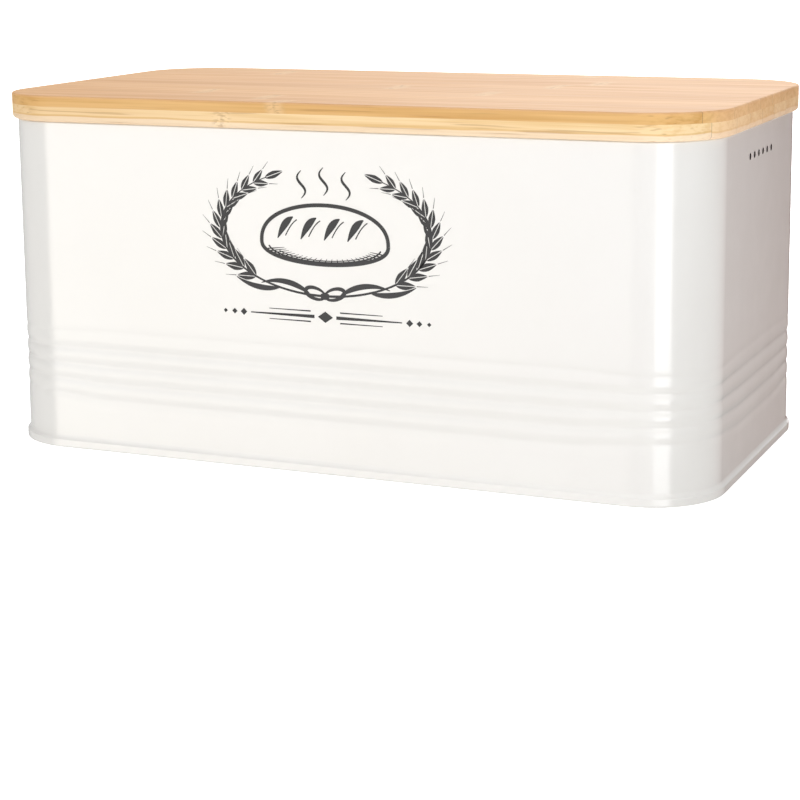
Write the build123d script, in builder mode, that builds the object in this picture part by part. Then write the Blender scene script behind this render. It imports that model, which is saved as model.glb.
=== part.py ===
"""A bread box: a sheet steel tin with a seamed base, and a bamboo lid that turns over as a board."""
import os

from build123d import *

os.makedirs("parts", exist_ok=True)

# Sheet steel, with its coat
sheet = 0.4

# Body: a wrapped wall with rounded corners
body_length = 335.0
body_width = 179.0
body_height = 150.4
body_corner = 32.0

# Rim, rolled inward to a hollow ledge that carries the lid; its bends are cut to facets
rim_width = 5.0
rim_depth = 5.0
rim_edge = 0.4
rim_roll = 1.3
rim_slit = 0.7

# Ribs round the wall, between pressed valleys
rib_count = 4
rib_pitch = 7.1
valley_depth = 0.6
valley_width = 4.4
lowest_valley = 25.4

# Vents in a row across each end
vent_count = 6
vent_diameter = 3.0
vent_pitch = 7.6
vent_drop = 12.5

# Lap where the wall's ends meet, at the middle of the back
lap_width = 8.0
lap_margin = 2.0

# Double seam that joins the base to the wall
seam_height = 3.8
seam_gap = 0.08
seam_chamfer = 0.5
hook_overlap = 1.4

# Base panel, set up inside its seam, with one raised step
base_recess = 3.0
step_inset = 14.0
step_rise = 1.2
step_run = 1.8
step_land = 2.5

# Lid: three plies of bamboo strips, rebated all round to leave a plug
lid_overhang = 2.5
top_ply = 4.8
ledge = 7.0
plug_foot = 3.3
plug_ply = 6.4
plug_clearance = 1.3
top_edge = 0.6
ledge_edge = 1.2
plug_edge = 0.5

# Strips that each ply is glued up from: full ones that share the width left by a trimmed one at each side
top_strip_count = 9
top_first_strip = 13.0
top_last_strip = 17.0
core_strip_count = 9
core_first_strip = 17.0
core_last_strip = 13.0
plug_strip_count = 8
plug_first_strip = 18.9
plug_last_strip = 15.5

# Crumb grooves in the plug's face
groove_count = 9
groove_width = 7.0
groove_depth = 3.0
groove_side_margin = 10.1
groove_end_margin = 12.4

# Sizes that follow
lid_length = body_length + 2 * lid_overhang
lid_width = body_width + 2 * lid_overhang
lid_corner = body_corner + lid_overhang
plug_inset = rim_width + plug_clearance
plug_length = body_length - 2 * plug_inset
plug_width = body_width - 2 * plug_inset
plug_corner = body_corner - plug_inset
plug_root = body_height - plug_foot
plug_face = plug_root - plug_ply
half_front = body_length / 2 - body_corner
half_end = body_width / 2 - body_corner

# Planes of the wall's section: local x points out of the wall and local y up
front_plane = Plane(origin=(half_front, -body_width / 2, 0), x_dir=(0, -1, 0), z_dir=(-1, 0, 0))
end_plane = Plane(origin=(body_length / 2, -half_end, 0), x_dir=(1, 0, 0), z_dir=(0, -1, 0))
back_plane = Plane(origin=(-lap_width / 2, body_width / 2, 0), x_dir=(0, 1, 0), z_dir=(1, 0, 0))
corner_axis = Axis((half_front, -half_end, 0), (0, 0, 1))


def wrap(section):
    """Carry a section round the body: a quarter of the way, then mirrored twice."""
    with BuildSketch(front_plane) as front_section:
        add(section)
    with BuildSketch(end_plane) as end_section:
        add(section)
    extrude(front_section.sketch, amount=half_front)
    revolve(front_section.sketch, axis=corner_axis, revolution_arc=90)
    extrude(end_section.sketch, amount=-half_end)
    mirror(about=Plane.YZ)
    mirror(about=Plane.XZ)


def ribbed_line(out, start, end):
    """A line up the wall at one distance out, from a start height to an end height, through the valleys."""
    points = [(out, start)]
    for i in range(rib_count + 1):
        z = lowest_valley + i * rib_pitch
        points += [(out, z - valley_width / 2), (out - valley_depth, z), (out, z + valley_width / 2)]
    Polyline(*points, (out, end))


# Layers of the double seam, as mid lines: distances out of the wall's face and heights
wall_mid = -sheet / 2
cover_hook_mid = seam_gap + sheet / 2
body_hook_mid = cover_hook_mid + sheet + seam_gap
seam_mid = body_hook_mid + sheet + seam_gap
chuck_mid = wall_mid - sheet - seam_gap
heel_mid = sheet / 2
body_bend_mid = heel_mid + sheet + seam_gap
seam_top_mid = seam_height - sheet / 2
hook_chamfer = seam_chamfer - (2 - 2**0.5) * (sheet + seam_gap)
cover_hook_end = body_bend_mid + sheet / 2 + seam_gap + hook_chamfer
body_hook_end = cover_hook_end + hook_overlap
panel_mid = base_recess + sheet / 2

# Wall: one sheet from its hook in the seam, up through the ribs, to the rolled rim
rim_mid = body_height - sheet / 2
rim_inner_mid = sheet / 2 - rim_width
rim_under_mid = body_height - rim_depth + sheet / 2
with BuildSketch() as wall_section:
    with BuildLine():
        Polyline(
            (body_hook_mid, body_hook_end),
            (body_hook_mid, body_bend_mid + hook_chamfer),
            (body_hook_mid - hook_chamfer, body_bend_mid),
            (wall_mid, body_bend_mid),
        )
        ribbed_line(wall_mid, body_bend_mid, rim_mid - rim_edge)
        Polyline(
            (wall_mid, rim_mid - rim_edge),
            (wall_mid - rim_edge, rim_mid),
            (rim_inner_mid + rim_roll, rim_mid),
            (rim_inner_mid, rim_mid - rim_roll),
            (rim_inner_mid, rim_under_mid + rim_roll),
            (rim_inner_mid + rim_roll, rim_under_mid),
            (-sheet - rim_slit, rim_under_mid),
        )
    trace(line_width=sheet)

with BuildSketch() as lap_section:
    with BuildLine():
        ribbed_line(wall_mid - sheet, panel_mid + lap_margin, body_height - rim_depth - lap_margin)
    trace(line_width=sheet)

with BuildPart() as body_shell:
    wrap(wall_section.sketch)
    with BuildSketch(back_plane):
        add(lap_section.sketch)
    extrude(amount=lap_width)
    with BuildSketch(Plane.YZ.offset(-body_length / 2 - sheet)):
        with Locations((0, body_height - vent_drop)):
            with GridLocations(vent_pitch, 0, vent_count, 1):
                Circle(vent_diameter / 2)
    extrude(amount=body_length + 2 * sheet, mode=Mode.SUBTRACT)
body_shell.part.label = "body_shell"
export_step(body_shell.part, "parts/body_shell.step")

# Base: one sheet from its raised panel, down the chuck wall and over the wall's hook
step_foot = step_inset + step_run
flat_inset = step_foot + step_land
with BuildSketch() as base_section:
    with BuildLine():
        Polyline(
            (-flat_inset, panel_mid + step_rise),
            (-step_foot, panel_mid + step_rise),
            (-step_inset, panel_mid),
            (chuck_mid, panel_mid),
            (chuck_mid, heel_mid),
            (seam_mid - seam_chamfer, heel_mid),
            (seam_mid, heel_mid + seam_chamfer),
            (seam_mid, seam_top_mid - seam_chamfer),
            (seam_mid - seam_chamfer, seam_top_mid),
            (cover_hook_mid, seam_top_mid),
            (cover_hook_mid, cover_hook_end),
        )
    trace(line_width=sheet)

with BuildPart() as base_panel:
    wrap(base_section.sketch)
    with BuildSketch(Plane.XY.offset(panel_mid + step_rise - sheet / 2)):
        RectangleRounded(body_length - 2 * flat_inset, body_width - 2 * flat_inset, body_corner - flat_inset)
    extrude(amount=sheet)
base_panel.part.label = "base_panel"
export_step(base_panel.part, "parts/base_panel.step")

# Top ply of the lid, whole, before it is parted into its strips
with BuildPart() as top_board:
    with BuildSketch(Plane.XY.offset(body_height + ledge)):
        RectangleRounded(lid_length, lid_width, lid_corner)
    extrude(amount=top_ply)
    chamfer(top_board.faces().sort_by(Axis.Z)[-1].edges(), length=top_edge)

# Core ply: the ledge that rests on the rim, and the foot of the plug below it
with BuildPart() as core_board:
    with BuildSketch(Plane.XY.offset(body_height)):
        RectangleRounded(lid_length, lid_width, lid_corner)
    extrude(amount=ledge)
    chamfer(core_board.faces().sort_by(Axis.Z)[0].edges(), length=ledge_edge)
    with BuildSketch(Plane.XY.offset(plug_root)):
        RectangleRounded(plug_length, plug_width, plug_corner)
    extrude(amount=plug_foot)

# Plug ply, with the crumb grooves cut up into its face
groove_pitch = (plug_width - 2 * groove_side_margin - groove_width) / (groove_count - 1)
groove_length = plug_length - 2 * groove_end_margin
with BuildPart() as plug_board:
    with BuildSketch(Plane.XY.offset(plug_face)):
        RectangleRounded(plug_length, plug_width, plug_corner)
    extrude(amount=plug_ply)
    chamfer(plug_board.faces().sort_by(Axis.Z)[0].edges(), length=plug_edge)
    with BuildSketch(Plane.XY.offset(plug_face)):
        with GridLocations(0, groove_pitch, 1, groove_count):
            SlotOverall(groove_length, groove_width)
    extrude(amount=groove_depth, mode=Mode.SUBTRACT)


def strip_edges(width, count, first, last):
    """The edges of a ply's strips from front to back: a trimmed strip, the full ones, and a trimmed strip."""
    full_strip = (width - first - last) / (count - 2)
    joints = [first + i * full_strip for i in range(count - 1)]
    return [y - width / 2 for y in (0, *joints, width)]


top_edges = strip_edges(lid_width, top_strip_count, top_first_strip, top_last_strip)
core_edges = strip_edges(lid_width, core_strip_count, core_first_strip, core_last_strip)
plug_edges = strip_edges(plug_width, plug_strip_count, plug_first_strip, plug_last_strip)
plies = {
    "top_strip": (top_board.part, top_edges),
    "core_strip": (core_board.part, core_edges),
    "plug_strip": (plug_board.part, plug_edges),
}
for name, (board, edges) in plies.items():
    for number, (near, far) in enumerate(zip(edges, edges[1:]), start=1):
        with BuildPart() as strip:
            add(board)
            with BuildSketch(Plane.XY.offset(plug_face)):
                with Locations((0, (near + far) / 2)):
                    Rectangle(lid_length, far - near)
            extrude(amount=body_height + ledge + top_ply - plug_face, mode=Mode.INTERSECT)
        strip.part.label = f"{name}_{number}"
        export_step(strip.part, f"parts/{name}_{number}.step")
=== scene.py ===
"""The bread box dressed: an enamelled tin with a printed front, and a bamboo lid that lifts off."""

import math

import bmesh
import bpy
from mathutils import Matrix, Vector


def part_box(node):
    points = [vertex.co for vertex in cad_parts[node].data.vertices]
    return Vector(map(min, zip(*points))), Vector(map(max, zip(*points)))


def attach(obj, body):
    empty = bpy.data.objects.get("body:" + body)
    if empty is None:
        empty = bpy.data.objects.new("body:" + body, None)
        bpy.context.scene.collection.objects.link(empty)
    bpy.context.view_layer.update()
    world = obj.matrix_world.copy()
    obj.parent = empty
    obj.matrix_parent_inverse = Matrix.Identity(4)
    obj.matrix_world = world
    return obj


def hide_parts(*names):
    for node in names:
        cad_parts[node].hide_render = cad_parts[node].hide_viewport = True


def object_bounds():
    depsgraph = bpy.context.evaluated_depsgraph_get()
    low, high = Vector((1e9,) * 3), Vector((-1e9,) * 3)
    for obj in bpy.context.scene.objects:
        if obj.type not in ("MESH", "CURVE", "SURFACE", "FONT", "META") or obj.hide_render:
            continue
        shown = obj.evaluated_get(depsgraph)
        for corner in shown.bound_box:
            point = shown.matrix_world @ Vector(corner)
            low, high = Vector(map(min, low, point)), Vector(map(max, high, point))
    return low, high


bl_info = {
    "name": "Bread box",
    "version": (1, 0, 0),
    "blender": (4, 5, 0),
    "location": "3D View > Sidebar > Bread box",
    "description": "Dresses the bread box: tin, print, bamboo lid and stage",
    "category": "Object",
}

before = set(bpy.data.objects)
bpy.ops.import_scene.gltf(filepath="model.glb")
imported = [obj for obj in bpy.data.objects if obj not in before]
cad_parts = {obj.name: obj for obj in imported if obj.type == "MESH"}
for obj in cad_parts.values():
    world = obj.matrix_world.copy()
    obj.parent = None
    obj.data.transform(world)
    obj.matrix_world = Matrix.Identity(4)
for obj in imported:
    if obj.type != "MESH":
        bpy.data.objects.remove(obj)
cad_low, cad_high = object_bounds()
shell_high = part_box("body_shell")[1]

MERGE = 1e-6
CORNER_STEPS = 32
BEND_STEPS = 6
# Bends past these are shaded as sharp, and count as a plate's edges
SHARP_BEND = math.radians(38)
PLATE_BEND = math.radians(60)

# Steps along the flats beside a corner, where the wall's shape still changes
EASING = (0.008,) * 4
# From a corner's middle to where the ribs start to spread apart, and the length that it takes
RIB_SPREAD_START = 0.018
RIB_SPREAD_LENGTH = 0.036
# Depth of the five valleys, lowest first, as shares of the full depth
VALLEY_SHARES = (0.6, 1.0, 1.0, 1.0, 0.35)
VENT_COUNT = 6
LAP_WIDTH = 0.008
LAP_GAP = 0.00002

# From one knuckle to the next along a strip
KNUCKLE_PITCH = 0.29
# From the lid's middle, where its ends begin to look different
END_ZONE = (0.15, 0.165)

CAMERA_AIM = (-0.0035, 0.0, 0.0688)
CAMERA_SHIFT = -0.14375

# What gloss sees round the box: degrees from the front towards the right end, and the light there
TENT_RADIUS = 12.0
FLOOR_LIGHT = {
    -180: (0.2, 0.15, 0.15),
    -60: 0.5,
    -38: (2.0, 1.95, 1.9),
    22: 2.0,
    28: 1.5,
    46: 1.2,
    54: 0.3,
    110: 0.1,
    150: 0.1,
}
WALL_LIGHT = {
    -180: (0.22, 0.12, 0.10),
    -150: 0.50,
    -50: 0.55,
    -38: (3.6, 3.45, 3.2),
    -24: (3.6, 3.45, 3.3),
    -15: (2.9, 2.8, 2.9),
    -8: (2.3, 2.2, 2.3),
    22: (2.3, 2.2, 2.3),
    26: (4.4, 4.45, 4.6),
    46: (4.4, 4.45, 4.6),
    51: (0.6, 0.65, 0.7),
    68: (0.48, 0.48, 0.52),
    85: (0.27, 0.24, 0.26),
    115: (0.2, 0.15, 0.15),
    145: (0.25, 0.12, 0.11),
    180: (0.20, 0.11, 0.09),
}
LID_LIGHT = {
    -180: (1.85, 1.85, 1.9),
    -168: (1.8, 1.8, 1.85),
    -140: (0.35, 0.35, 0.37),
    -60: 0.3,
    -30: 2.9,
    22: 2.9,
    28: 3.4,
    46: 3.4,
    54: 1.2,
    100: 0.8,
    145: (0.42, 0.4, 0.4),
    168: (0.42, 0.4, 0.4),
    180: (1.85, 1.85, 1.9),
}
CEILING_LIGHT = {-180: 1.0, -75: 1.0, -40: 3.6, 50: 3.6, 85: 1.4, 180: 1.0}


# Properties


def metres(name, description, default):
    return bpy.props.FloatProperty(
        name=name, description=description, default=default, min=0.0, precision=5, subtype="DISTANCE"
    )


def degrees(name, description, default):
    return bpy.props.FloatProperty(
        name=name, description=description, default=math.radians(default), subtype="ANGLE"
    )


def tint(name, description, default):
    return bpy.props.FloatVectorProperty(
        name=name, description=description, default=default, size=3, min=0.0, max=1.0, subtype="COLOR"
    )


class TinSettings(bpy.types.PropertyGroup):
    length: metres("Length", "Length of the tin between its flat ends", 0.335)
    width: metres("Width", "Width of the tin between its flat sides", 0.179)
    height: metres("Height", "Height of the rim that carries the lid", shell_high.z)
    corner: metres("Corner", "Radius of the upright corners", 0.032)
    sheet: metres("Sheet", "Thickness of the coated steel", 0.0004)
    rim: metres("Rim", "Width and depth of the rolled rim", 0.005)
    valley_depth: metres("Valley depth", "Depth of the valleys pressed between the ribs", 0.0006)
    valley_width: metres("Valley width", "Width of one valley", 0.005)
    middle_valley: metres("Middle valley", "Height of the middle valley on the flats", 0.0392)
    corner_middle: metres("Corner middle", "Height of the middle valley round the corners", 0.0400)
    rib_pitch: metres("Rib pitch", "Distance between two valleys on the flats", 0.00795)
    corner_pitch: metres("Corner pitch", "Distance between two valleys round the corners", 0.0071)
    vent_diameter: metres("Vent diameter", "Diameter of each vent", 0.003)
    vent_pitch: metres("Vent pitch", "Distance from one vent to the next", 0.0076)
    vent_drop: metres("Vent drop", "Distance of the vents below the rim", 0.0125)
    enamel: tint("Enamel", "Cream white of the enamel", (0.80, 0.785, 0.755))
    enamel_shade: tint("Enamel shade", "Deeper cream in the coat's thin places", (0.77, 0.75, 0.715))


class PrintSettings(bpy.types.PropertyGroup):
    width: metres("Width", "Width of the wreath of wheat", 0.100)
    height: metres("Height", "Height of the wreath of wheat", 0.055)
    middle: metres("Middle", "Height of the wreath's middle above the base", 0.1065)
    loaf_width: metres("Loaf width", "Width of the drawn loaf", 0.060)
    loaf_rise: metres("Loaf rise", "Height of the drawn loaf's crust above its widest place", 0.0165)
    film: metres("Film", "Thickness of the ink", 0.00004)
    ink: tint("Ink", "Dark grey of the ink", (0.030, 0.030, 0.031))
    ink_worn: tint("Worn ink", "Lighter grey where the ink is thin", (0.05, 0.05, 0.052))


class LidSettings(bpy.types.PropertyGroup):
    overhang: metres("Overhang", "How far the lid stands out past the tin", 0.0025)
    top_ply: metres("Top ply", "Thickness of the upper ply", 0.0048)
    ledge: metres("Ledge", "Thickness of the core ply where it rests on the rim", 0.0070)
    plug_foot: metres("Plug foot", "Thickness of the core ply's foot inside the rim", 0.0033)
    plug_ply: metres("Plug ply", "Thickness of the plug's own ply", 0.0064)
    plug_clearance: metres("Plug clearance", "Gap between the plug and the rim", 0.0013)
    top_round: metres("Top rounding", "Rounding of the upper edge", 0.0008)
    ledge_round: metres("Ledge rounding", "Rounding of the ledge's lower edge", 0.0018)
    plug_round: metres("Plug rounding", "Rounding of the plug's edge", 0.0007)
    groove_width: metres("Groove width", "Width of a crumb groove", 0.007)
    groove_depth: metres("Groove depth", "Depth of a crumb groove", 0.003)
    groove_count: bpy.props.IntProperty(
        name="Grooves", description="Number of crumb grooves", default=9, min=2
    )
    groove_side_margin: metres("Groove side margin", "From the plug's long side to a groove", 0.0101)
    groove_end_margin: metres("Groove end margin", "From the plug's short side to a groove", 0.0124)
    top_light: tint("Top ply, light", "Paler fibres of the upper ply", (0.80, 0.495, 0.19))
    top_dark: tint("Top ply, dark", "Deeper fibres of the upper ply", (0.60, 0.315, 0.08))
    core_light: tint("Core ply, light", "Paler fibres of the core ply", (0.90, 0.66, 0.36))
    core_dark: tint("Core ply, dark", "Deeper fibres of the core ply", (0.68, 0.40, 0.12))
    plug_light: tint("Plug ply, light", "Paler fibres of the plug ply", (0.66, 0.39, 0.20))
    plug_dark: tint("Plug ply, dark", "Deeper fibres of the plug ply", (0.50, 0.245, 0.10))


class StageSettings(bpy.types.PropertyGroup):
    floor_size: metres("Floor size", "Side of the floor", 40.0)
    floor_colour: tint("Floor colour", "Pale floor", (0.92, 0.92, 0.92))
    lens: bpy.props.FloatProperty(
        name="Lens", description="Focal length of the camera", default=92.73, unit="CAMERA"
    )
    camera_distance: metres("Camera distance", "From the camera to what it looks at", 0.9716)
    yaw: degrees("Yaw", "Turn of the camera to the right of the front", 23.39)
    pitch: degrees("Pitch", "How far the camera looks down", 10.06)
    roll: degrees("Roll", "Tilt of the camera about its view", -0.57)


# Mesh helpers


def new_mesh(name, bm):
    """A mesh made from a bmesh, which is freed."""
    mesh = bpy.data.meshes.new(name)
    bm.to_mesh(mesh)
    bm.free()
    return mesh


def new_object(name, bm):
    made = bpy.data.objects.new(name, new_mesh(name, bm))
    bpy.context.scene.collection.objects.link(made)
    return made


def add_piece(name, bm, material, body, node=None):
    """Make a piece from a bmesh, shade it smooth but for its sharp bends, and tie it to its body."""
    piece = new_object(name, bm)
    piece.data.materials.append(material)
    finish_mesh(piece.data)
    if node:
        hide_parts(node)
    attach(piece, body)
    return piece


def finish_mesh(mesh):
    mesh.shade_smooth()
    mesh.set_sharp_from_angle(angle=SHARP_BEND)


def settle(piece):
    """Put the piece's modifiers into its mesh."""
    graph = bpy.context.evaluated_depsgraph_get()
    mesh = bpy.data.meshes.new_from_object(piece.evaluated_get(graph))
    piece.modifiers.clear()
    piece.data = mesh
    finish_mesh(mesh)


def even_shading(piece):
    """Keep the large flats flat beside their rounded edges."""
    weighted = piece.modifiers.new("flat_faces", "WEIGHTED_NORMAL")
    weighted.keep_sharp = True
    weighted.weight = 80


def thicken(piece, tin):
    """Give the tin's sheet its thickness, half to each side."""
    thick = piece.modifiers.new("sheet", "SOLIDIFY")
    thick.thickness = tin.sheet
    thick.offset = 0.0
    thick.use_even_offset = True
    settle(piece)


def join_in(piece, bm):
    """Add a bmesh's shape to a piece."""
    added = new_mesh("added", bm)
    whole = bmesh.new()
    whole.from_mesh(piece.data)
    whole.from_mesh(added)
    whole.to_mesh(piece.data)
    whole.free()
    bpy.data.meshes.remove(added)
    finish_mesh(piece.data)


def cut_away(piece, bm):
    """Cut a bmesh's shape out of a piece."""
    cutter = new_object("cutter", bm)
    cut = piece.modifiers.new("cut", "BOOLEAN")
    cut.operation = "DIFFERENCE"
    cut.solver = "EXACT"
    cut.object = cutter
    bpy.context.view_layer.update()
    settle(piece)
    bpy.data.objects.remove(cutter)


def verts_in(geom):
    return [g for g in geom if isinstance(g, bmesh.types.BMVert)]


def edges_in(geom):
    return [g for g in geom if isinstance(g, bmesh.types.BMEdge)]


def face_outwards(bm):
    bmesh.ops.recalc_face_normals(bm, faces=bm.faces[:])


def bevel(bm, geom, radius, segments, affect):
    bmesh.ops.bevel(
        bm, geom=geom, offset=radius, segments=segments, profile=0.5, affect=affect, material=-1
    )


def extrude(bm, faces, step):
    made = bmesh.ops.extrude_face_region(bm, geom=faces)["geom"]
    bmesh.ops.translate(bm, verts=verts_in(made), vec=step)


def rounded_line(points, width_at):
    """A wire through (out, up, rounding) points on the front, with each bend rounded as far as it says."""
    bm = bmesh.new()
    verts = [bm.verts.new((0.0, -width_at - out, up)) for out, up, _ in points]
    for pair in zip(verts, verts[1:]):
        bm.edges.new(pair)
    bends = {}
    for vert, (_, _, rounding) in zip(verts, points):
        if rounding:
            bends.setdefault(rounding, []).append(vert)
    for rounding, chosen in bends.items():
        bevel(bm, chosen, rounding, BEND_STEPS, "VERTICES")
    return bm


def moved_out(bm, edges, step):
    """Extrude a wire by a step, and give its new verts and edges."""
    made = bmesh.ops.extrude_edge_only(bm, edges=edges)["geom"]
    verts = verts_in(made)
    fresh = set(verts)
    bmesh.ops.translate(bm, verts=verts, vec=step)
    return verts, [e for e in edges_in(made) if fresh.issuperset(e.verts)]


def carry_round(bm, tin, easing=()):
    """Carry the wire on the front round a quarter of the tin, and mirror it twice."""
    half_front = tin.length / 2 - tin.corner
    half_end = tin.width / 2 - tin.corner
    wire = bm.edges[:]
    for step in (half_front - sum(easing), *easing):
        verts, wire = moved_out(bm, wire, (step, 0, 0))
    turned = bmesh.ops.spin(
        bm,
        geom=verts + wire,
        cent=(half_front, -half_end, 0),
        axis=(0, 0, 1),
        angle=math.pi / 2,
        steps=CORNER_STEPS,
    )["geom_last"]
    wire = edges_in(turned)
    for step in (*reversed(easing), half_end - sum(easing)):
        verts, wire = moved_out(bm, wire, (0, step, 0))
    for axis in "XY":
        bmesh.ops.mirror(bm, geom=bm.verts[:] + bm.edges[:] + bm.faces[:], axis=axis, merge_dist=MERGE)
    bmesh.ops.remove_doubles(bm, verts=bm.verts[:], dist=MERGE)


def rounded_plate(length, width, corner, low, thickness):
    """A plate with rounded corners: its face, extruded up from its low side."""
    bm = bmesh.new()
    points = [(-1, -1), (1, -1), (1, 1), (-1, 1)]
    verts = [bm.verts.new((x * length / 2, y * width / 2, low)) for x, y in points]
    bm.faces.new(verts)
    bevel(bm, verts, corner, CORNER_STEPS, "VERTICES")
    extrude(bm, bm.faces[:], (0, 0, thickness))
    face_outwards(bm)
    return bm


def round_rim(bm, height, radius, segments=5):
    """Round a plate's outer edges at one height."""
    bm.normal_update()
    rim = [
        e
        for e in bm.edges
        if all(abs(v.co.z - height) < MERGE for v in e.verts)
        and e.is_convex
        and e.calc_face_angle(0.0) > PLATE_BEND
    ]
    bevel(bm, rim, radius, segments, "EDGES")


# Material helpers


class NodeKit:
    """Short calls for building one node tree."""

    def __init__(self, tree):
        self.tree = tree
        tree.nodes.clear()

    def node(self, kind, values=None, **settings):
        """A node with its settings, and its inputs set to the values or linked to them."""
        made = self.tree.nodes.new(kind)
        for key, value in settings.items():
            setattr(made, key, value)
        for key, value in (values or {}).items():
            if isinstance(value, bpy.types.NodeSocket):
                self.tree.links.new(value, made.inputs[key])
            else:
                made.inputs[key].default_value = value
        return made

    def surface(self, kind, values):
        """The shader that a material shows."""
        self.node("ShaderNodeOutputMaterial", {"Surface": self.node(kind, values).outputs[0]})

    def place(self):
        return self.node("ShaderNodeTexCoord").outputs["Object"]

    def parts(self, vector):
        return self.node("ShaderNodeSeparateXYZ", {0: vector}).outputs

    def math(self, operation, *values, clamp=False):
        made = self.node("ShaderNodeMath", dict(enumerate(values)), operation=operation, use_clamp=clamp)
        return made.outputs[0]

    def plus(self, first, second, clamp=False):
        return self.math("ADD", first, second, clamp=clamp)

    def minus(self, first, second):
        return self.math("SUBTRACT", first, second)

    def times(self, first, second):
        return self.math("MULTIPLY", first, second)

    def over(self, first, second):
        return self.math("DIVIDE", first, second)

    def size(self, value):
        """How far a value is from zero."""
        return self.math("ABSOLUTE", value)

    def spread(self, value, low, high, out_low=0.0, out_high=1.0):
        """A value from low to high, eased to the other range."""
        made = self.node(
            "ShaderNodeMapRange",
            {"Value": value, "From Min": low, "From Max": high, "To Min": out_low, "To Max": out_high},
            interpolation_type="SMOOTHSTEP",
        )
        return made.outputs[0]

    def mix(self, factor, first, second):
        """The first colour where the factor is 0, going to the second where it is 1."""
        first, second = ((*c, 1.0) if isinstance(c, tuple) else c for c in (first, second))
        return self.node("ShaderNodeMix", {0: factor, 6: first, 7: second}, data_type="RGBA").outputs[2]

    def ramp(self, value, stops):
        """The light for each angle in degrees, where the value runs from 0 at -180 to 1 at 180."""
        made = self.node("ShaderNodeValToRGB", {0: value})
        made.color_ramp.interpolation = "EASE"
        elements = made.color_ramp.elements
        while len(elements) > 1:
            elements.remove(elements[0])
        for number, (angle, light) in enumerate(stops.items()):
            position = (angle + 180) / 360
            element = elements[0] if number == 0 else elements.new(position)
            element.position = position
            element.color = (*light, 1.0) if isinstance(light, tuple) else (light, light, light, 1.0)
        return made.outputs[0]

    def noise(self, vector, scale, detail=2.0, roughness=0.5, distortion=0.0):
        values = {"Detail": detail, "Roughness": roughness, "Distortion": distortion}
        return self.node("ShaderNodeTexNoise", {"Vector": vector, "Scale": scale, **values}).outputs["Fac"]


def node_group(name, inputs):
    """A group that puts out a colour, a roughness and a height; gives its kit and its inputs."""
    group = bpy.data.node_groups.new(name, "ShaderNodeTree")
    for socket, default in inputs.items():
        kind = "NodeSocketColor" if isinstance(default, tuple) else "NodeSocketFloat"
        group.interface.new_socket(socket, in_out="INPUT", socket_type=kind).default_value = default
    for socket, kind in (("Color", "Color"), ("Roughness", "Float"), ("Height", "Float")):
        group.interface.new_socket(socket, in_out="OUTPUT", socket_type=f"NodeSocket{kind}")
    kit = NodeKit(group)
    return kit, kit.node("NodeGroupInput").outputs


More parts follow.
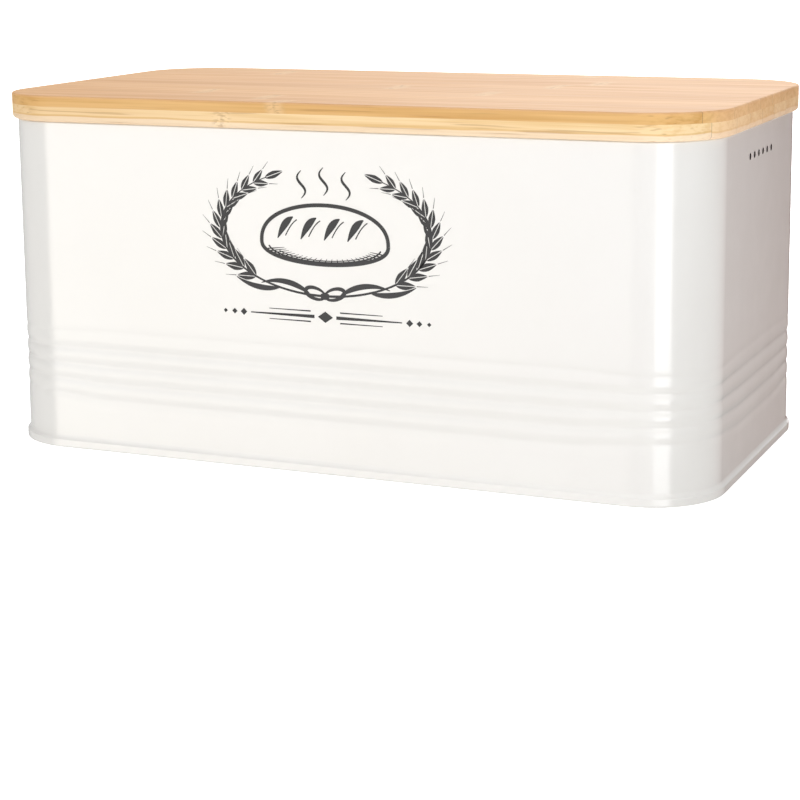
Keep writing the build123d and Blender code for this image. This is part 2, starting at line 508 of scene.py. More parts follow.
def bamboo_group():
    """Strips of bamboo side by side: their fibres, their tones, their knuckles and their glue lines."""
    kit, given = node_group(
        "bamboo_strips",
        {
            "Light": (0.8, 0.6, 0.3, 1.0),
            "Dark": (0.6, 0.4, 0.2, 1.0),
            "First Joint": 0.0,
            "Strip Width": 0.022,
            "Seed": 0.0,
            "Tone Range": 0.5,
            "Pale Below": 0.0,
        },
    )
    top = cad_high.z
    place = kit.place()
    x, y, z = kit.parts(place)
    across = kit.over(kit.minus(y, given["First Joint"]), given["Strip Width"])
    strip = kit.plus(kit.math("FLOOR", across), given["Seed"])
    chance = kit.node("ShaderNodeTexWhiteNoise", {"W": strip}, noise_dimensions="1D").outputs["Color"]
    tone_chance, knuckle_chance, _ = kit.parts(chance)
    # Each strip takes its own stretch of the pattern
    shift = kit.node("ShaderNodeVectorMath", {0: chance, 1: (7.0, 3.0, 5.0)}, operation="MULTIPLY")
    own = kit.node("ShaderNodeVectorMath", {0: place, 1: shift.outputs[0]}, operation="ADD").outputs[0]

    def drawn_out(scale, **kind):
        """Noise that is drawn out along the strip."""
        drawn = kit.node("ShaderNodeMapping", {"Vector": own, "Scale": scale}).outputs[0]
        return kit.noise(drawn, 1.0, **kind)

    fine = drawn_out((14.0, 700.0, 1150.0), roughness=0.6)
    streak = drawn_out((10.0, 300.0, 560.0), distortion=0.3)
    broad = drawn_out((6.0, 70.0, 120.0))
    fibre = kit.spread(kit.plus(kit.times(fine, 0.25), kit.times(streak, 0.75)), 0.38, 0.64)
    tone = kit.times(kit.minus(tone_chance, 0.5), given["Tone Range"])
    blend = kit.plus(kit.times(fibre, 0.5), kit.spread(broad, 0.35, 0.68, 0.0, 0.4))
    colour = kit.mix(kit.plus(blend, tone, clamp=True), given["Light"], given["Dark"])
    # The stalk's inner side is paler: the lower part of a ply, below a wavering darker streak
    waver = kit.times(kit.minus(drawn_out((22.0, 60.0, 0.0)), 0.5), 0.0018)
    above = kit.minus(z, kit.plus(given["Pale Below"], waver))
    colour = kit.mix(kit.spread(above, -0.0004, 0.0002, 0.5, 0.0), colour, (0.95, 0.80, 0.66))
    seam = kit.spread(kit.size(kit.minus(above, 0.0003)), 0.0001, 0.0006, 0.5, 0.0)
    colour = kit.mix(seam, colour, given["Dark"])
    # End grain on the lid's short edges, painted paler too: partly its own tone, partly painted light on
    # the ends
    end = kit.spread(kit.size(x), 0.162, 0.169)
    end = kit.times(end, kit.spread(z, top - 0.0007, top - 0.0001, 0.38, 0.0))
    colour = kit.mix(end, colour, (0.90, 0.56, 0.34))
    # Short dark flecks, seen on the edges more than on the sanded face
    face = kit.spread(z, top - 0.0012, top - 0.0002)
    fleck = kit.spread(drawn_out((24.0, 500.0, 950.0), detail=1.0), 0.60, 0.72)
    fleck = kit.times(fleck, kit.spread(face, 0.0, 1.0, 0.4, 0.1))
    fleck = kit.times(fleck, kit.spread(kit.size(x), *END_ZONE, 1.0, 0.3))
    colour = kit.mix(fleck, colour, (0.40, 0.19, 0.05))
    # The board's top face is painted a little duller and pinker than its edges, as painted sheen for the
    # glare that the top face takes
    colour = kit.mix(kit.times(face, 0.2), colour, (0.70, 0.34, 0.30))
    # Painted shade: the board's left end is painted a little deeper in tone, most of all on its edges, for
    # the light that falls from the right
    painted_left_shade = kit.times(kit.spread(x, -0.16, 0.04, 0.2, 0.0), kit.spread(face, 0.0, 1.0, 1.0, 0.4))
    colour = kit.mix(painted_left_shade, colour, (0.42, 0.18, 0.02))
    # Knuckles cross each strip now and then, as a pale patch with dark dashes and a faint line
    ripple = kit.times(kit.minus(drawn_out((8.0, 70.0, 70.0), detail=1.0), 0.5), 0.007)
    along = kit.plus(kit.plus(x, ripple), kit.times(knuckle_chance, KNUCKLE_PITCH))
    turn = kit.math("FRACT", kit.over(along, KNUCKLE_PITCH))
    gap = kit.times(kit.size(kit.minus(turn, 0.5)), KNUCKLE_PITCH)
    zone = kit.spread(gap, 0.0015, 0.006, 1.0, 0.0)
    colour = kit.mix(kit.times(zone, 0.3), colour, (0.92, 0.70, 0.42))
    spots = kit.spread(drawn_out((330.0, 900.0, 900.0), detail=1.0), 0.52, 0.64)
    line = kit.spread(gap, 0.0002, 0.001, 0.16, 0.0)
    dash = kit.plus(line, kit.times(kit.times(zone, spots), 0.42))
    colour = kit.mix(dash, colour, (0.40, 0.20, 0.07))
    # Glue lines between the strips, darker at the ends
    edge = kit.size(kit.minus(kit.math("FRACT", kit.plus(across, 0.5)), 0.5))
    glue = kit.spread(kit.times(edge, given["Strip Width"]), 0.00004, 0.00022, 0.28, 0.0)
    glue = kit.times(glue, kit.spread(kit.size(x), *END_ZONE, 1.0, 2.0))
    colour = kit.mix(glue, colour, (0.27, 0.13, 0.05))
    roughness = kit.spread(fibre, 0.0, 1.0, 0.43, 0.49)
    height = kit.minus(kit.times(fibre, -0.4), kit.times(glue, 1.5))
    kit.node("NodeGroupOutput", {"Color": colour, "Roughness": roughness, "Height": height})
    return kit.tree


def coat_group():
    """A sprayed coat: a faint change of colour, and the soft ripple that gloss shows."""
    sockets = {"Color": (0.8, 0.8, 0.8, 1.0), "Shade": (0.7, 0.7, 0.7, 1.0), "Grain": 260.0}
    kit, given = node_group("sprayed_coat", sockets)
    place = kit.place()
    cloud = kit.spread(kit.noise(place, 9.0), 0.35, 0.75)
    speck = kit.spread(kit.noise(place, 700.0, detail=1.0), 0.72, 0.8)
    colour = kit.mix(kit.times(cloud, 0.5), given["Color"], given["Shade"])
    colour = kit.mix(kit.times(speck, 0.25), colour, given["Shade"])
    # Punched edges have hardly any coat, so uncoated steel shows there; it is painted near black, which is
    # also painted shade inside the vents
    steel_and_shade = kit.node("ShaderNodeAttribute", attribute_name="vent_wall_steel_and_shade").outputs["Fac"]
    colour = kit.mix(steel_and_shade, colour, (0.045, 0.032, 0.026))
    roughness = kit.spread(kit.noise(place, 60.0), 0.3, 0.7, 0.16, 0.22)
    height = kit.noise(place, given["Grain"], detail=1.0)
    kit.node("NodeGroupOutput", {"Color": colour, "Roughness": roughness, "Height": height})
    return kit.tree


def empty_material(name):
    material = bpy.data.materials.new(name)
    material.use_nodes = True
    return material, NodeKit(material.node_tree)


def new_material(name, group, make_group, values, bump, shader_values):
    """A material whose group feeds the shader's colour, roughness and bump."""
    material, kit = empty_material(name)
    tree = bpy.data.node_groups.get(group) or make_group()
    effect = kit.node("ShaderNodeGroup", node_tree=tree)
    for key, value in values.items():
        effect.inputs[key].default_value = value if isinstance(value, float) else (*value, 1.0)
    strength, distance = bump
    height = effect.outputs["Height"]
    bumped = kit.node("ShaderNodeBump", {"Strength": strength, "Distance": distance, "Height": height})
    kit.surface(
        "ShaderNodeBsdfPrincipled",
        {
            "Base Color": effect.outputs["Color"],
            "Roughness": effect.outputs["Roughness"],
            "Normal": bumped.outputs[0],
            **shader_values,
        },
    )
    return material


def enamel_material(tin):
    return bpy.data.materials.get("cream_enamel") or new_material(
        "cream_enamel",
        "sprayed_coat",
        coat_group,
        {"Color": tin.enamel, "Shade": tin.enamel_shade},
        (0.06, 0.0002),
        {"IOR": 1.5, "Coat Weight": 0.6, "Coat Roughness": 0.11},
    )


def ink_material(ornament):
    return new_material(
        "print_ink",
        "sprayed_coat",
        coat_group,
        {"Color": ornament.ink, "Shade": ornament.ink_worn, "Grain": 900.0},
        (0.1, 0.0001),
        {"IOR": 1.28},
    )


def bamboo_material(ply, lid, values):
    colours = {"Light": getattr(lid, f"{ply}_light"), "Dark": getattr(lid, f"{ply}_dark")}
    return new_material(
        f"bamboo_{ply}", "bamboo_strips", bamboo_group, colours | values, (0.1, 0.0002), {"IOR": 1.45}
    )


# Tin


def rib_points(tin, out):
    """The valleys on a wall that stands out so far, as points for a rounded line."""
    points = []
    reach = tin.valley_width / 2
    for i, share in enumerate(VALLEY_SHARES):
        z = tin.middle_valley + (i - 2) * tin.rib_pitch
        points += [
            (out, z - reach, 0.0013),
            (out - share * tin.valley_depth, z, 0.0009),
            (out, z + reach, 0.0013),
        ]
    return points


def draw_ribs_in(bm, tin):
    """Round the corners the ribs lie closer together than on the flats."""
    reach = 2 * tin.rib_pitch + tin.valley_width
    closer = tin.corner_pitch / tin.rib_pitch - 1
    lift = tin.corner_middle - tin.middle_valley
    for vert in bm.verts:
        rise = vert.co.z - tin.middle_valley
        if abs(rise) > reach:
            continue
        past_front = abs(vert.co.x) - (tin.length / 2 - tin.corner)
        past_end = abs(vert.co.y) - (tin.width / 2 - tin.corner)
        if min(past_front, past_end) > 0:
            along = abs(math.atan2(past_front, past_end) - math.pi / 4) * tin.corner
        else:
            along = tin.corner * math.pi / 4 - min(past_front, past_end)
        share = 1 - min(max((along - RIB_SPREAD_START) / RIB_SPREAD_LENGTH, 0.0), 1.0)
        vert.co.z += (rise * closer + lift) * share * share * (3 - 2 * share)


def add_lap(piece, tin):
    """The wall's other end, lapped inside the middle of the back."""
    out = -1.5 * tin.sheet - LAP_GAP
    points = [(out, 0.0054, 0), *rib_points(tin, out), (out, tin.height - 0.007, 0)]
    bm = rounded_line(points, tin.width / 2)
    moved_out(bm, bm.edges[:], (LAP_WIDTH, 0, 0))
    bmesh.ops.translate(bm, verts=bm.verts[:], vec=(-LAP_WIDTH / 2, 0, 0))
    bmesh.ops.rotate(bm, verts=bm.verts[:], cent=(0, 0, 0), matrix=Matrix.Rotation(math.pi, 3, "Z"))
    face_outwards(bm)
    bmesh.ops.solidify(bm, geom=bm.faces[:], thickness=tin.sheet * 0.98)
    join_in(piece, bm)


def cut_vents(piece, tin):
    """Punch the vents through both end walls."""
    bm = bmesh.new()
    for i in range(VENT_COUNT):
        y = (i - (VENT_COUNT - 1) / 2) * tin.vent_pitch
        place = Matrix.Translation((0, y, tin.height - tin.vent_drop))
        bmesh.ops.create_cone(
            bm,
            cap_ends=True,
            segments=32,
            radius1=tin.vent_diameter / 2,
            radius2=tin.vent_diameter / 2,
            depth=tin.length + 0.01,
            matrix=place @ Matrix.Rotation(math.pi / 2, 4, "Y"),
        )
    cut_away(piece, bm)


def mark_vent_walls(mesh, tin):
    """Mark the faces inside the punched vents, for the coat's colour: near black, for uncoated steel and
    painted shade in the holes.
    """
    marks = mesh.attributes.new("vent_wall_steel_and_shade", "FLOAT", "FACE")
    axis_height = tin.height - tin.vent_drop
    for face, mark in zip(mesh.polygons, marks.data):
        if abs(face.center.x) < tin.length / 2 - 0.002 or abs(face.normal.x) > 0.5:
            continue
        offset = math.remainder(face.center.y - tin.vent_pitch / 2, tin.vent_pitch)
        if math.hypot(offset, face.center.z - axis_height) < tin.vent_diameter / 2 + 0.0001:
            mark.value = 1.0


class BREADBOX_OT_tin_wall(bpy.types.Operator):
    """Make the wrapped wall with its ribs, rolled rim, lap and vents"""

    bl_idname = "breadbox.tin_wall"
    bl_label = "Tin wall"

    def execute(self, context):
        tin = context.scene.breadbox_tin
        half = tin.sheet / 2
        top = tin.height - half
        inner = half - tin.rim
        under = tin.height - tin.rim + half
        # From the hook in the seam, up the wall and over the rim
        points = [
            (0.00076, 0.0026, 0),
            (0.00076, 0.00068, 0.0002),
            (-half, 0.00068, 0.0002),
            *rib_points(tin, -half),
            (-half, top, 0.0007),
            (inner, top, 0.0018),
            (inner, under, 0.0018),
            (-tin.sheet - 0.0007, under, 0),
        ]
        bm = rounded_line(points, tin.width / 2)
        carry_round(bm, tin, EASING)
        draw_ribs_in(bm, tin)
        face_outwards(bm)
        piece = add_piece("tin_wall", bm, enamel_material(tin), "box", "body_shell")
        thicken(piece, tin)
        add_lap(piece, tin)
        cut_vents(piece, tin)
        even_shading(piece)
        mark_vent_walls(piece.data, tin)
        return {"FINISHED"}


def add_coat_fillet(piece, tin):
    """The coat that has run into the seam's upper crease, so the wall sweeps out into the seam."""
    points = [
        (-0.00004, 0.0062, 0),
        (0.00003, 0.0047, 0.0008),
        (0.00140, 0.0034, 0.0007),
        (0.00146, 0.0018, 0),
        (0.00120, 0.0018, 0),
        (-0.00004, 0.0034, 0),
    ]
    bm = rounded_line(points, tin.width / 2)
    bm.edges.new([v for v in bm.verts if len(v.link_edges) == 1])
    carry_round(bm, tin)
    face_outwards(bm)
    join_in(piece, bm)


class BREADBOX_OT_tin_base(bpy.types.Operator):
    """Make the base panel with its raised step and its half of the double seam"""

    bl_idname = "breadbox.tin_base"
    bl_label = "Tin base"

    def execute(self, context):
        tin = context.scene.breadbox_tin
        half = tin.sheet / 2
        panel = 0.003 + half
        step = panel + 0.0012
        # From the raised middle, over the step and down, then up round the wall's hook
        points = [
            (-0.0183, step, 0),
            (-0.0158, step, 0.0008),
            (-0.014, panel, 0.0008),
            (-0.00068, panel, 0.0003),
            (-0.00068, half, 0.00025),
            (0.00124, half, 0.0004),
            (0.00124, 0.0036, 0.00044),
            (0.00028, 0.0036, 0.00044),
            (0.00028, 0.0012, 0),
        ]
        bm = rounded_line(points, tin.width / 2)
        carry_round(bm, tin)
        middle = [e for e in bm.edges if e.is_boundary and all(abs(v.co.z - step) < MERGE for v in e.verts)]
        bmesh.ops.contextual_create(bm, geom=middle)
        face_outwards(bm)
        piece = add_piece("tin_base", bm, enamel_material(tin), "box", "base_panel")
        thicken(piece, tin)
        add_coat_fillet(piece, tin)
        even_shading(piece)
        return {"FINISHED"}


# Print


def steps(count):
    """Even shares from 0 to 1."""
    return [i / count for i in range(count + 1)]


class InkDrawing:
    """Flat strokes on a sheet, x to the right and y up in metres, no two neighbours on one level."""

    LEVELS = 11
    LEVEL = 0.000003

    def __init__(self):
        self.bm = bmesh.new()
        self.strokes = 0

    def next_level(self):
        self.strokes += 1
        return self.strokes % self.LEVELS * self.LEVEL

    def ribbon(self, points, widths):
        """A flat line through points, as wide as it says at each."""
        level = self.next_level()
        rails = []
        for i, (point, width) in enumerate(zip(points, widths)):
            near = Vector(points[max(0, i - 1)])
            far = Vector(points[min(len(points) - 1, i + 1)])
            side = (far - near).normalized().orthogonal() * width / 2
            rails.append([self.bm.verts.new((*(Vector(point) + s * side), level)) for s in (-1, 1)])
        for first, second in zip(rails, rails[1:]):
            self.bm.faces.new((first[0], second[0], second[1], first[1]))

    def blade(self, foot, heading, bend, length, width):
        """A long leaf that starts at its foot and turns as it goes."""
        points = []
        spot = foot.copy()
        for share in steps(16):
            points.append(spot.copy())
            angle = heading + bend * share
            spot = spot + Vector((math.cos(angle), math.sin(angle))) * length / 16
        self.ribbon(points, [0.0003 + width * math.sin(math.pi * share**0.8) for share in steps(16)])

    def kernel(self, middle, angle, length, width, split=0.0003):
        """A kernel seen from the side, pointed at its tip, in two halves with a fine line between."""
        level = self.next_level()
        place = Matrix.Translation((*middle, level)) @ Matrix.Rotation(angle, 4, "Z")
        for side in (-1, 1):
            made = bmesh.ops.create_circle(self.bm, cap_ends=True, segments=20, radius=1.0)["verts"]
            for vert in made:
                x = vert.co.x
                vert.co.y *= 1.0 - 0.45 * max(0.0, x) - 0.1 * x * x
            bmesh.ops.scale(self.bm, vec=(length / 2, width / 2, 1), verts=made)
            faces = list({f for v in made for f in v.link_faces})
            edges = list({e for f in faces for e in f.edges})
            cut = bmesh.ops.bisect_plane(
                self.bm,
                geom=made + edges + faces,
                dist=1e-8,
                plane_co=(0, side * split / 2, 0),
                plane_no=(0, -side, 0),
                clear_outer=True,
            )["geom"]
            bmesh.ops.transform(self.bm, matrix=place, verts=verts_in(cut))


def add_wheat(drawing, ornament, side):
    """One stem of the wreath with its ear of wheat and its blades."""

    def on_wreath(share):
        angle = math.radians(-101 + 158 * share)
        return Vector((side * ornament.width / 2 * math.cos(angle), ornament.height / 2 * math.sin(angle)))

    def heading(share):
        ahead = on_wreath(share + 0.01) - on_wreath(share)
        return math.atan2(ahead.y, ahead.x)

    stem = [on_wreath(share) for share in steps(48)]
    drawing.ribbon(stem, [0.0011 - 0.0007 * share for share in steps(48)])
    for i in range(11):
        share = 0.33 + 0.061 * i
        size = 1.0 - 0.02 * i
        for lean in (-1, 1):
            angle = heading(share) + lean * math.radians(26)
            way = Vector((math.cos(angle), math.sin(angle)))
            middle = on_wreath(share) + way * 0.0050 * size
            drawing.kernel(middle, angle, 0.0090 * size, 0.0036 * size)
            tip = middle + way * 0.0050 * size
            drawing.ribbon([tip, tip + way * 0.0052 * size], [0.0003, 0.0001])
    angle = heading(0.99)
    middle = on_wreath(1.0) + Vector((math.cos(angle), math.sin(angle))) * 0.0040
    drawing.kernel(middle, angle, 0.0090, 0.0032)
    drawing.blade(on_wreath(0.12), heading(0.12) + side * 0.55, -side, 0.025, 0.0022)
    drawing.blade(on_wreath(0.23), heading(0.23) - side * 0.45, side * 0.75, 0.022, 0.0022)


def add_loaf(drawing, ornament):
    """A plain domed loaf with four cuts and a hatched foot, with steam above it."""
    wide = ornament.loaf_width / 2
    rise = ornament.loaf_rise
    seat = Vector((0.0, -0.0045))

    def crust(share, grow):
        angle = math.tau * share
        up = math.copysign(abs(math.sin(angle)) ** 0.85, math.sin(angle))
        return seat + Vector((wide * math.cos(angle), rise * (up if up > 0 else 0.56 * up))) * grow

    drawing.ribbon([crust(share, 1.0) for share in steps(96)], [0.0017] * 97)
    for grow, first, last, width in ((0.90, 0.53, 0.97, 0.0007), (0.82, 0.58, 0.92, 0.0004)):
        drawing.ribbon([crust(first + (last - first) * share, grow) for share in steps(40)], [width] * 41)
    for i in range(4):
        foot = seat + Vector((wide * (0.37 * i - 0.74), rise * 0.08))
        lean = wide * 0.25
        cut = []
        for t in steps(16):
            cut.append(foot + Vector((lean * t, rise * (0.58 * t + 0.10 * math.sin(math.pi * t)))))
        drawing.ribbon(cut, [0.0004 + 0.0028 * math.sin(math.pi * t) for t in steps(16)])
        drawing.ribbon([point + Vector((0.0028, -0.0006)) for point in cut[2:15]], [0.0005] * 13)
    for i in range(23):
        share = 0.555 + 0.39 * i / 22
        drawing.ribbon([crust(share, 0.96), crust(share, 0.72) + Vector((0.0012, 0.0))], [0.0006, 0.00015])
    for i in (-1, 0, 1):
        low = seat.y + rise * 1.16 + (0.0016 if i == 0 else 0.0)
        curl = [(0.0105 * i + 0.0019 * math.sin(math.tau * t), low + 0.0120 * t) for t in steps(24)]
        drawing.ribbon(curl, [0.0003 + 0.0009 * math.sin(math.pi * t) for t in steps(24)])


def add_rule(drawing, ornament):
    """A bow where the stems cross, and a rule with diamonds below the wreath."""
    knot = -ornament.height / 2
    for side in (-1, 1):
        loop = []
        for t in steps(32):
            out = 1 - math.cos(math.tau * t)
            loop.append((side * 0.0046 * out, knot + 0.0024 * math.sin(math.tau * t) + 0.0010 * out))
        drawing.ribbon(loop, [0.0006 + 0.0012 * math.sin(math.pi * t) for t in steps(32)])
    drawing.ribbon([(-0.0020, knot), (0, knot), (0.0020, knot)], [0.0018, 0.0034, 0.0018])
    low = knot - 0.0092
    for side in (-1, 1):
        drawing.ribbon([(side * 0.0052, low), (side * 0.036, low)], [0.0015, 0.0005])
        for rise in (-0.0023, 0.0023):
            drawing.ribbon([(side * 0.0070, low + rise), (side * 0.027, low + rise)], [0.0006, 0.0003])
        for i in range(3):
            x = side * (0.0395 + 0.0045 * i)
            size = 0.0016 - 0.0003 * i
            drawing.ribbon([(x - size, low), (x, low), (x + size, low)], [0.00002, 2 * size, 0.00002])
    drawing.ribbon([(-0.0036, low), (0, low), (0.0036, low)], [0.00002, 0.0050, 0.00002])


class BREADBOX_OT_print(bpy.types.Operator):
    """Make the printed ornament on the front: a wreath of wheat round a plain loaf"""

    bl_idname = "breadbox.print"
    bl_label = "Front print"

    def execute(self, context):
        ornament = context.scene.breadbox_print
        drawing = InkDrawing()
        for side in (-1, 1):
            add_wheat(drawing, ornament, side)
        add_loaf(drawing, ornament)
        add_rule(drawing, ornament)
        bm = drawing.bm
        # From the flat drawing to the front wall
        front = -context.scene.breadbox_tin.width / 2 - 0.00001
        stand = Matrix.Translation((0, front, ornament.middle)) @ Matrix.Rotation(math.pi / 2, 4, "X")
        bmesh.ops.transform(bm, matrix=stand, verts=bm.verts[:])
        extrude(bm, bm.faces[:], (0, -ornament.film, 0))
        face_outwards(bm)
        add_piece("front_print", bm, ink_material(ornament), "box")
        return {"FINISHED"}


# Lid


def cut_grooves(bm, lid, plug_length, plug_width, face):
    """Rout the grooves, with round ends and coved floors."""
    spare = 0.002
    pitch = (plug_width - 2 * lid.groove_side_margin - lid.groove_width) / (lid.groove_count - 1)
    long = plug_length - 2 * lid.groove_end_margin
    wide = lid.groove_width
    one = rounded_plate(long, wide, wide / 2 - 1e-5, face - spare, spare + lid.groove_depth)
    round_rim(one, face + lid.groove_depth, 0.0017)
    groove = new_mesh("groove", one)
    cutter = bmesh.new()
    for i in range(lid.groove_count):
        before = len(cutter.verts)
        cutter.from_mesh(groove)
        cutter.verts.ensure_lookup_table()
        y = (i - (lid.groove_count - 1) / 2) * pitch
        bmesh.ops.translate(cutter, verts=cutter.verts[before:], vec=(0, y, 0))
    bpy.data.meshes.remove(groove)
    board = new_object("plug_board", bm)
    cut_away(board, cutter)
    grooved = bmesh.new()
    grooved.from_mesh(board.data)
    bpy.data.objects.remove(board)
    return grooved


def part_strips(bm, ply, lid, width, count, first, last, seed, tone_range, pale_below=0.0):
    """Part a board into strips, each a piece of its own; the first and the last are narrower."""
    full = (width - first - last) / (count - 2)
    joints = [first + i * full for i in range(count - 1)]
    edges = [y - width / 2 for y in (0, *joints, width)]
    values = {
        "First Joint": first - width / 2,
        "Strip Width": full,
        "Seed": seed,
        "Tone Range": tone_range,
        "Pale Below": pale_below,
    }
    material = bamboo_material(ply, lid, values)
    board = new_mesh("board", bm)
    for number, (near, far) in enumerate(zip(edges, edges[1:]), start=1):
        strip = bmesh.new()
        strip.from_mesh(board)
        for y, way, inside in ((near, -1, number > 1), (far, 1, number < count)):
            if not inside:
                continue
            cut = bmesh.ops.bisect_plane(
                strip,
                geom=strip.verts[:] + strip.edges[:] + strip.faces[:],
                dist=1e-7,
                plane_co=(0, y, 0),
                plane_no=(0, way, 0),
                clear_outer=True,
            )["geom_cut"]
            bmesh.ops.triangle_fill(strip, use_beauty=True, edges=edges_in(cut))
        face_outwards(strip)
        name = f"bamboo_{ply}_{number}"
        even_shading(add_piece(name, strip, material, "lid", f"{ply}_strip_{number}"))
    bpy.data.meshes.remove(board)


class BREADBOX_OT_lid(bpy.types.Operator):
    """Make the lid's three plies of bamboo strips, with the rebate and the crumb grooves"""

    bl_idname = "breadbox.lid"
    bl_label = "Bamboo lid"

    def execute(self, context):
        lid = context.scene.breadbox_lid
        tin = context.scene.breadbox_tin
        length = tin.length + 2 * lid.overhang
        width = tin.width + 2 * lid.overhang
        corner = tin.corner + lid.overhang
        inset = tin.rim + lid.plug_clearance
        seat = tin.height
        # Top ply
        bm = rounded_plate(length, width, corner, seat + lid.ledge, lid.top_ply)
        round_rim(bm, seat + lid.ledge + lid.top_ply, lid.top_round)
        part_strips(bm, "top", lid, width, count=9, first=0.013, last=0.017, seed=3.0, tone_range=0.3)
        # Core ply, with the plug's foot inset below its ledge
        bm = rounded_plate(length, width, corner, seat, lid.ledge)
        under = [f for f in bm.faces if f.normal.z < -0.9]
        bmesh.ops.inset_region(bm, faces=under, thickness=lid.overhang + inset, use_even_offset=True)
        extrude(bm, under, (0, 0, -lid.plug_foot))
        bmesh.ops.delete(bm, geom=[f for f in under if f.is_valid], context="FACES_ONLY")
        face_outwards(bm)
        round_rim(bm, seat, lid.ledge_round, BEND_STEPS)
        pale = seat + 0.0028
        part_strips(bm, "core", lid, width, 9, 0.017, 0.013, seed=40.0, tone_range=0.85, pale_below=pale)
        # Plug ply, with the crumb grooves
        plug_length = tin.length - 2 * inset
        plug_width = tin.width - 2 * inset
        face = seat - lid.plug_foot - lid.plug_ply
        bm = rounded_plate(plug_length, plug_width, tin.corner - inset, face, lid.plug_ply)
        round_rim(bm, face, lid.plug_round)
        bm = cut_grooves(bm, lid, plug_length, plug_width, face)
        part_strips(bm, "plug", lid, plug_width, 8, 0.0189, 0.0155, seed=80.0, tone_range=0.4)
        return {"FINISHED"}


# Stage


def flat_card(name, side):
    bm = bmesh.new()
    bmesh.ops.create_grid(bm, x_segments=1, y_segments=1, size=side / 2)
    return new_object(name, bm)


def add_floor(stage):
    """The pale floor, just below the foot, which gloss doesn't see."""
    floor = flat_card("floor", stage.floor_size)
    floor.location.z = cad_low.z - 0.00005
    material, kit = empty_material("pale_floor")
    # Away from the box the camera sees the floor blown out to white
    away = kit.node("ShaderNodeVectorMath", {0: kit.place()}, operation="LENGTH").outputs["Value"]
    seen = kit.node("ShaderNodeLightPath").outputs["Is Camera Ray"]
    blown = kit.times(seen, kit.spread(away, 0.22, 0.5, 0.2, 1.0))
    kit.surface(
        "ShaderNodeBsdfPrincipled",
        {
            "Base Color": (*stage.floor_colour, 1.0),
            "Roughness": 0.12,
            "IOR": 1.33,
            "Emission Color": (1.0, 1.0, 1.0, 1.0),
            "Emission Strength": kit.plus(blown, 0.28),
        },
    )
    floor.data.materials.append(material)
    floor.visible_glossy = False


def add_world(scene):
    """The studio's own light, stronger where the camera sees it."""
    scene.world = bpy.data.worlds.new("studio")
    scene.world.use_nodes = True
    kit = NodeKit(scene.world.node_tree)
    seen = kit.node("ShaderNodeLightPath").outputs["Is Camera Ray"]
    strength = kit.spread(seen, 0.0, 1.0, 0.36, 1.1)
    ground = kit.node("ShaderNodeBackground", {"Color": (1.0, 0.995, 0.985, 1.0), "Strength": strength})
    kit.node("ShaderNodeOutputWorld", {"Surface": ground.outputs[0]})


def softbox(name, place, aim, size, radiance, colour=(1.0, 1.0, 1.0)):
    """A soft light that gloss doesn't show."""
    light = bpy.data.lights.new(name, "AREA")
    light.shape = "RECTANGLE"
    light.size, light.size_y = size
    light.energy = radiance * math.pi * size[0] * size[1]
    light.color = colour
    made = bpy.data.objects.new(name, light)
    bpy.context.scene.collection.objects.link(made)
    made.location = place
    made.rotation_euler = (Vector(aim) - Vector(place)).to_track_quat("-Z", "Y").to_euler()
    made.visible_camera = False
    made.visible_glossy = False


def add_lights():
    softbox("overhead", (-0.3, -0.2, 1.9), (0, 0, 0.1), (2.2, 2.0), 0.9)
    softbox("front_fill", (-0.75, -1.7, 0.75), (0, 0, 0.08), (1.6, 1.2), 1.38)
    softbox("side_fill", (0.70, -0.51, 0.30), (0.17, -0.05, 0.08), (0.3, 0.3), 1.2, (0.95, 0.97, 1.0))
    softbox("end_fill", (0.44, -0.12, 0.16), (0.17, -0.03, 0.08), (0.16, 0.16), 2.6, (0.92, 0.96, 1.0))
    softbox("far_floor", (-3.0, 5.5, 2.4), (-3.0, 5.5, 0), (12, 9), 1.05)


def add_tent():
    """A tent of light that only gloss sees, brighter in front, with a strip beside the right corner."""
    bm = bmesh.new()
    bmesh.ops.create_uvsphere(bm, u_segments=48, v_segments=24, radius=TENT_RADIUS)
    bmesh.ops.reverse_faces(bm, faces=bm.faces[:])
    tent = new_object("light_tent", bm)
    tent.data.shade_smooth()
    material, kit = empty_material("light_tent")
    x, y, z = kit.parts(kit.place())
    turn = kit.over(kit.math("ARCTAN2", x, kit.times(y, -1.0)), math.tau)
    turn = kit.plus(turn, 0.5)
    rise = kit.over(z, TENT_RADIUS)
    colour = kit.ramp(turn, FLOOR_LIGHT)
    bands = ((-0.36, -0.23, WALL_LIGHT), (-0.08, 0.04, LID_LIGHT), (0.45, 0.65, CEILING_LIGHT))
    for low, high, light in bands:
        colour = kit.mix(kit.spread(rise, low, high), colour, kit.ramp(turn, light))
    kit.surface("ShaderNodeEmission", {"Color": colour, "Strength": 1.0})
    tent.data.materials.append(material)
    tent.visible_camera = False
    tent.visible_diffuse = False
    tent.visible_shadow = False


def add_flag():
    """A dark card beside the back of the right end, to shade it."""
    flag = flat_card("dark_flag", 0.34)
    flag.rotation_euler = (0, math.pi / 2, 0)
    flag.location = (0.36, 0.18, 0.17)
    material, kit = empty_material("dark_flag")
    kit.surface("ShaderNodeBsdfPrincipled", {"Base Color": (0.20, 0.15, 0.13, 1.0), "Roughness": 1.0})
    flag.data.materials.append(material)
    flag.visible_camera = False
    flag.visible_glossy = False
    flag.visible_shadow = False


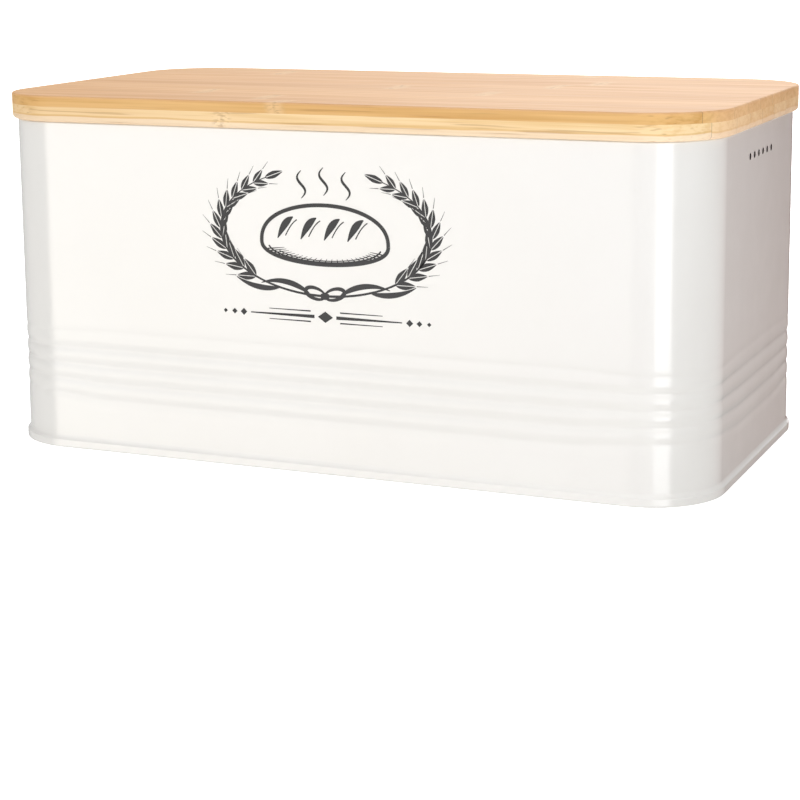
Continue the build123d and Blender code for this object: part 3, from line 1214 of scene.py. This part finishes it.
def add_camera(scene, stage):
    data = bpy.data.cameras.new("camera")
    data.lens = stage.lens
    data.sensor_width = 36.0
    data.shift_y = CAMERA_SHIFT
    data.clip_end = 100.0
    camera = bpy.data.objects.new("camera", data)
    scene.collection.objects.link(camera)
    level = math.cos(stage.pitch)
    back = Vector((math.sin(stage.yaw) * level, -math.cos(stage.yaw) * level, math.sin(stage.pitch)))
    camera.location = Vector(CAMERA_AIM) + back * stage.camera_distance
    turn = (-back).to_track_quat("-Z", "Y").to_matrix() @ Matrix.Rotation(stage.roll, 3, "Z")
    camera.rotation_euler = turn.to_euler()
    scene.camera = camera


class BREADBOX_OT_stage(bpy.types.Operator):
    """Make the floor, the studio lights and the camera"""

    bl_idname = "breadbox.stage"
    bl_label = "Stage"

    def execute(self, context):
        stage = context.scene.breadbox_stage
        add_floor(stage)
        add_world(context.scene)
        add_lights()
        add_tent()
        add_flag()
        add_camera(context.scene, stage)
        context.scene.view_settings.view_transform = "Standard"
        return {"FINISHED"}


PIECE_OPERATORS = (
    BREADBOX_OT_tin_wall,
    BREADBOX_OT_tin_base,
    BREADBOX_OT_print,
    BREADBOX_OT_lid,
    BREADBOX_OT_stage,
)


class BREADBOX_PT_panel(bpy.types.Panel):
    """Lists the bread box's pieces"""

    bl_idname = "BREADBOX_PT_panel"
    bl_label = "Bread box"
    bl_space_type = "VIEW_3D"
    bl_region_type = "UI"
    bl_category = "Bread box"

    def draw(self, context):
        for operator in PIECE_OPERATORS:
            self.layout.operator(operator.bl_idname)


SETTINGS = {
    "breadbox_tin": TinSettings,
    "breadbox_print": PrintSettings,
    "breadbox_lid": LidSettings,
    "breadbox_stage": StageSettings,
}
CLASSES = (*SETTINGS.values(), *PIECE_OPERATORS, BREADBOX_PT_panel)


def register():
    for made in CLASSES:
        bpy.utils.register_class(made)
    for name, settings in SETTINGS.items():
        setattr(bpy.types.Scene, name, bpy.props.PointerProperty(type=settings))


def unregister():
    for name in SETTINGS:
        delattr(bpy.types.Scene, name)
    for made in reversed(CLASSES):
        bpy.utils.unregister_class(made)


def main():
    register()
    bpy.ops.breadbox.stage()
    bpy.ops.breadbox.tin_wall()
    bpy.ops.breadbox.tin_base()
    bpy.ops.breadbox.print()
    bpy.ops.breadbox.lid()


if __name__ == "__main__":
    main()
